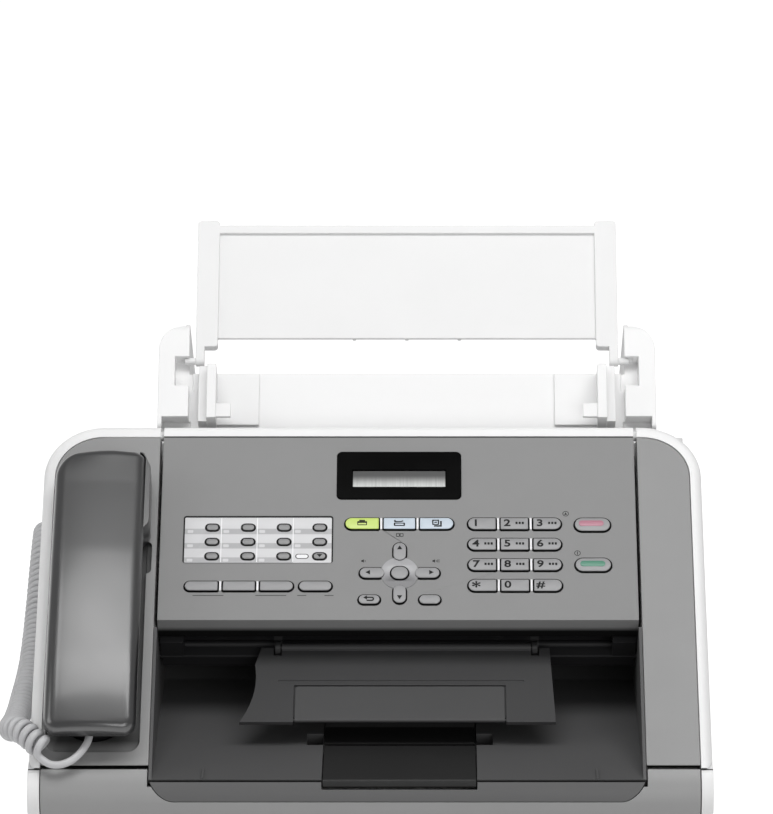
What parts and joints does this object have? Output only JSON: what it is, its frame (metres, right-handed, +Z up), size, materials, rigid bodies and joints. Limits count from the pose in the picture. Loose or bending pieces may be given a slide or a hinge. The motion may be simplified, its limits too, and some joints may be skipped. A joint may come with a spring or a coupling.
{
  "type": "fax machine",
  "caption": "Desktop laser fax machine with a corded handset on the left, a hinged sloping control panel, a document tray with fold-out support and a paper cassette.",
  "frame": {"origin": "on the desk under the middle of the body's outline", "axes": "+X to the machine's right as the user faces it, +Y to the back, +Z up"},
  "size_m": [0.388, 0.366, 0.3437],
  "materials": {
    "white_case": "satin, fine moulded texture",
    "grey_deck": "satin grey, fine moulded texture",
    "panel_grey": "satin mid grey",
    "tray_dark": "dark grey, fine moulded texture",
    "handset_grey": "smooth dark grey, soft gloss",
    "key_grey": "smooth grey",
    "display_black": "gloss black",
    "guide_white": "satin white",
    "frame_black": "matt black",
    "rubber_black": "matt",
    "cord_grey": "smooth light grey jacket"
  },
  "bodies": {
    "root": {"base_frame": "white_case", "upper_housing": "white_case", "left_side_cover": "white_case", "right_side_cover": "white_case", "document_tray": "white_case", "handset_cradle": "grey_deck", "right_deck": "grey_deck", "output_tray": "tray_dark", "scanner_frame": "frame_black", "toner_cartridge": "frame_black", "rubber_feet": "rubber_black", "handset_lead": "cord_grey", "curly_cord": "cord_grey"},
    "control_panel": {"control_panel": "panel_grey", "display_window": "display_black"},
    "front_cover": {"front_cover": "grey_deck", "tray_lip": "tray_dark"},
    "manual_feed_cover": {"manual_feed_cover": "grey_deck"},
    "paper_cassette": {"paper_cassette": "grey_deck"},
    "rear_cover": {"rear_cover": "white_case"},
    "document_support": {"document_support": "guide_white"},
    "document_guide_left": {"document_guide_left": "guide_white"},
    "document_guide_right": {"document_guide_right": "guide_white"},
    "document_output_support": {"document_output_support": "tray_dark"},
    "document_output_flap": {"document_output_flap": "tray_dark"},
    "output_flap": {"output_flap": "tray_dark"},
    "feed_roller": {"feed_roller": "rubber_black"},
    "handset": {"handset_shell": "handset_grey", "handset_base": "handset_grey"},
    "hook_switch": {"hook_switch": "guide_white"},
    "power_switch": {"power_switch": "frame_black"},
    "key_1": {"key_1": "key_grey"},
    "key_2": {"key_2": "key_grey"},
    "key_3": {"key_3": "key_grey"},
    "key_4": {"key_4": "key_grey"},
    "key_5": {"key_5": "key_grey"},
    "key_6": {"key_6": "key_grey"},
    "key_7": {"key_7": "key_grey"},
    "key_8": {"key_8": "key_grey"},
    "key_9": {"key_9": "key_grey"},
    "key_star": {"key_star": "key_grey"},
    "key_0": {"key_0": "key_grey"},
    "key_hash": {"key_hash": "key_grey"},
    "mode_fax_key": {"mode_fax_key": "key_grey"},
    "mode_scan_key": {"mode_scan_key": "key_grey"},
    "mode_copy_key": {"mode_copy_key": "key_grey"},
    "nav_up_key": {"nav_up_key": "key_grey"},
    "nav_down_key": {"nav_down_key": "key_grey"},
    "nav_left_key": {"nav_left_key": "key_grey"},
    "nav_right_key": {"nav_right_key": "key_grey"},
    "ok_key": {"ok_key": "key_grey"},
    "clear_key": {"clear_key": "key_grey"},
    "menu_key": {"menu_key": "key_grey"},
    "stop_key": {"stop_key": "key_grey"},
    "start_key": {"start_key": "key_grey"},
    "hook_key": {"hook_key": "key_grey"},
    "redial_key": {"redial_key": "key_grey"},
    "resolution_key": {"resolution_key": "key_grey"},
    "options_key": {"options_key": "key_grey"},
    "one_touch_keys": {"one_touch_keys": "key_grey"}
  },
  "joints": [
    {"name": "control_panel_hinge", "type": "hinge", "parent": "root", "child": "control_panel", "pos_m": [0, 0.03159, 0.26949], "axis": [-1, 0, 0], "range_deg": [0, 60]},
    {"name": "front_cover_hinge", "type": "hinge", "parent": "root", "child": "front_cover", "pos_m": [0, -0.177, 0.087], "axis": [1, 0, 0], "range_deg": [0, 85]},
    {"name": "manual_feed_cover_hinge", "type": "hinge", "parent": "root", "child": "manual_feed_cover", "pos_m": [0, -0.18035, 0.06295], "axis": [1, 0, 0], "range_deg": [0, 88]},
    {"name": "paper_cassette_slide", "type": "slide", "parent": "root", "child": "paper_cassette", "axis": [0, -1, 0], "range_m": [0, 0.24]},
    {"name": "rear_cover_hinge", "type": "hinge", "parent": "root", "child": "rear_cover", "pos_m": [0, 0.1765, 0.0765], "axis": [-1, 0, 0], "range_deg": [0, 80]},
    {"name": "document_support_hinge", "type": "hinge", "parent": "root", "child": "document_support", "pos_m": [0.019, 0.08248, 0.2895], "axis": [-1, 0, 0], "range_deg": [0, 82]},
    {"name": "document_guide_left_slide", "type": "slide", "parent": "root", "child": "document_guide_left", "axis": [1, 0, 0], "range_m": [0, 0.034]},
    {"name": "document_guide_right_slide", "type": "slide", "parent": "root", "child": "document_guide_right", "axis": [-1, 0, 0], "range_m": [0, 0.034]},
    {"name": "document_output_support_hinge", "type": "hinge", "parent": "root", "child": "document_output_support", "pos_m": [0.019, -0.0745, 0.1967], "axis": [-1, 0, 0], "range_deg": [0, 25]},
    {"name": "document_output_flap_hinge", "type": "hinge", "parent": "document_output_support", "child": "document_output_flap", "pos_m": [0.014, -0.12776, 0.18415], "axis": [1, 0, 0], "range_deg": [0, 165]},
    {"name": "output_flap_hinge", "type": "hinge", "parent": "root", "child": "output_flap", "pos_m": [0.0155, -0.1725, 0.1746], "axis": [1, 0, 0], "range_deg": [0, 140]},
    {"name": "feed_roller_spin", "type": "hinge", "parent": "root", "child": "feed_roller", "pos_m": [0.019, -0.00373, 0.24088], "axis": [1, 0, 0], "continuous": true},
    {"name": "handset_lift", "type": "slide", "parent": "root", "child": "handset", "axis": [0, -0.4226, 0.9063], "range_m": [0, 0.08]},
    {"name": "hook_switch_slide", "type": "slide", "parent": "root", "child": "hook_switch", "axis": [0, -0.4226, 0.9063], "range_m": [0, 0.003]},
    {"name": "power_switch_rocker", "type": "hinge", "parent": "root", "child": "power_switch", "pos_m": [0.179, 0.14, 0.1], "axis": [0, 0, 1], "range_deg": [0, 12]},
    {"name": "key_1_press", "type": "slide", "parent": "control_panel", "child": "key_1", "axis": [0, 0.4226, -0.9063], "range_m": [0, 0.001], "stiffness_N_per_m": 250},
    {"name": "key_2_press", "type": "slide", "parent": "control_panel", "child": "key_2", "axis": [0, 0.4226, -0.9063], "range_m": [0, 0.001], "stiffness_N_per_m": 250},
    {"name": "key_3_press", "type": "slide", "parent": "control_panel", "child": "key_3", "axis": [0, 0.4226, -0.9063], "range_m": [0, 0.001], "stiffness_N_per_m": 250},
    {"name": "key_4_press", "type": "slide", "parent": "control_panel", "child": "key_4", "axis": [0, 0.4226, -0.9063], "range_m": [0, 0.001], "stiffness_N_per_m": 250},
    {"name": "key_5_press", "type": "slide", "parent": "control_panel", "child": "key_5", "axis": [0, 0.4226, -0.9063], "range_m": [0, 0.001], "stiffness_N_per_m": 250},
    {"name": "key_6_press", "type": "slide", "parent": "control_panel", "child": "key_6", "axis": [0, 0.4226, -0.9063], "range_m": [0, 0.001], "stiffness_N_per_m": 250},
    {"name": "key_7_press", "type": "slide", "parent": "control_panel", "child": "key_7", "axis": [0, 0.4226, -0.9063], "range_m": [0, 0.001], "stiffness_N_per_m": 250},
    {"name": "key_8_press", "type": "slide", "parent": "control_panel", "child": "key_8", "axis": [0, 0.4226, -0.9063], "range_m": [0, 0.001], "stiffness_N_per_m": 250},
    {"name": "key_9_press", "type": "slide", "parent": "control_panel", "child": "key_9", "axis": [0, 0.4226, -0.9063], "range_m": [0, 0.001], "stiffness_N_per_m": 250},
    {"name": "key_star_press", "type": "slide", "parent": "control_panel", "child": "key_star", "axis": [0, 0.4226, -0.9063], "range_m": [0, 0.001], "stiffness_N_per_m": 250},
    {"name": "key_0_press", "type": "slide", "parent": "control_panel", "child": "key_0", "axis": [0, 0.4226, -0.9063], "range_m": [0, 0.001], "stiffness_N_per_m": 250},
    {"name": "key_hash_press", "type": "slide", "parent": "control_panel", "child": "key_hash", "axis": [0, 0.4226, -0.9063], "range_m": [0, 0.001], "stiffness_N_per_m": 250},
    {"name": "mode_fax_key_press", "type": "slide", "parent": "control_panel", "child": "mode_fax_key", "axis": [0, 0.4226, -0.9063], "range_m": [0, 0.001], "stiffness_N_per_m": 250},
    {"name": "mode_scan_key_press", "type": "slide", "parent": "control_panel", "child": "mode_scan_key", "axis": [0, 0.4226, -0.9063], "range_m": [0, 0.001], "stiffness_N_per_m": 250},
    {"name": "mode_copy_key_press", "type": "slide", "parent": "control_panel", "child": "mode_copy_key", "axis": [0, 0.4226, -0.9063], "range_m": [0, 0.001], "stiffness_N_per_m": 250},
    {"name": "nav_up_key_press", "type": "slide", "parent": "control_panel", "child": "nav_up_key", "axis": [0, 0.4226, -0.9063], "range_m": [0, 0.001], "stiffness_N_per_m": 250},
    {"name": "nav_down_key_press", "type": "slide", "parent": "control_panel", "child": "nav_down_key", "axis": [0, 0.4226, -0.9063], "range_m": [0, 0.001], "stiffness_N_per_m": 250},
    {"name": "nav_left_key_press", "type": "slide", "parent": "control_panel", "child": "nav_left_key", "axis": [0, 0.4226, -0.9063], "range_m": [0, 0.001], "stiffness_N_per_m": 250},
    {"name": "nav_right_key_press", "type": "slide", "parent": "control_panel", "child": "nav_right_key", "axis": [0, 0.4226, -0.9063], "range_m": [0, 0.001], "stiffness_N_per_m": 250},
    {"name": "ok_key_press", "type": "slide", "parent": "control_panel", "child": "ok_key", "axis": [0, 0.4226, -0.9063], "range_m": [0, 0.001], "stiffness_N_per_m": 250},
    {"name": "clear_key_press", "type": "slide", "parent": "control_panel", "child": "clear_key", "axis": [0, 0.4226, -0.9063], "range_m": [0, 0.001], "stiffness_N_per_m": 250},
    {"name": "menu_key_press", "type": "slide", "parent": "control_panel", "child": "menu_key", "axis": [0, 0.4226, -0.9063], "range_m": [0, 0.001], "stiffness_N_per_m": 250},
    {"name": "stop_key_press", "type": "slide", "parent": "control_panel", "child": "stop_key", "axis": [0, 0.4226, -0.9063], "range_m": [0, 0.001], "stiffness_N_per_m": 250},
    {"name": "start_key_press", "type": "slide", "parent": "control_panel", "child": "start_key", "axis": [0, 0.4226, -0.9063], "range_m": [0, 0.001], "stiffness_N_per_m": 250},
    {"name": "hook_key_press", "type": "slide", "parent": "control_panel", "child": "hook_key", "axis": [0, 0.4226, -0.9063], "range_m": [0, 0.001], "stiffness_N_per_m": 250},
    {"name": "redial_key_press", "type": "slide", "parent": "control_panel", "child": "redial_key", "axis": [0, 0.4226, -0.9063], "range_m": [0, 0.001], "stiffness_N_per_m": 250},
    {"name": "resolution_key_press", "type": "slide", "parent": "control_panel", "child": "resolution_key", "axis": [0, 0.4226, -0.9063], "range_m": [0, 0.001], "stiffness_N_per_m": 250},
    {"name": "options_key_press", "type": "slide", "parent": "control_panel", "child": "options_key", "axis": [0, 0.4226, -0.9063], "range_m": [0, 0.001], "stiffness_N_per_m": 250},
    {"name": "one_touch_keys_press", "type": "slide", "parent": "control_panel", "child": "one_touch_keys", "axis": [0, 0.4226, -0.9063], "range_m": [0, 0.001], "stiffness_N_per_m": 400}
  ],
  "couplings": [
    {"joint": "document_guide_right_slide", "follows": "document_guide_left_slide", "ratio": 1},
    {"joint": "hook_switch_slide", "follows": "handset_lift", "ratio": 0.0375}
  ]
}
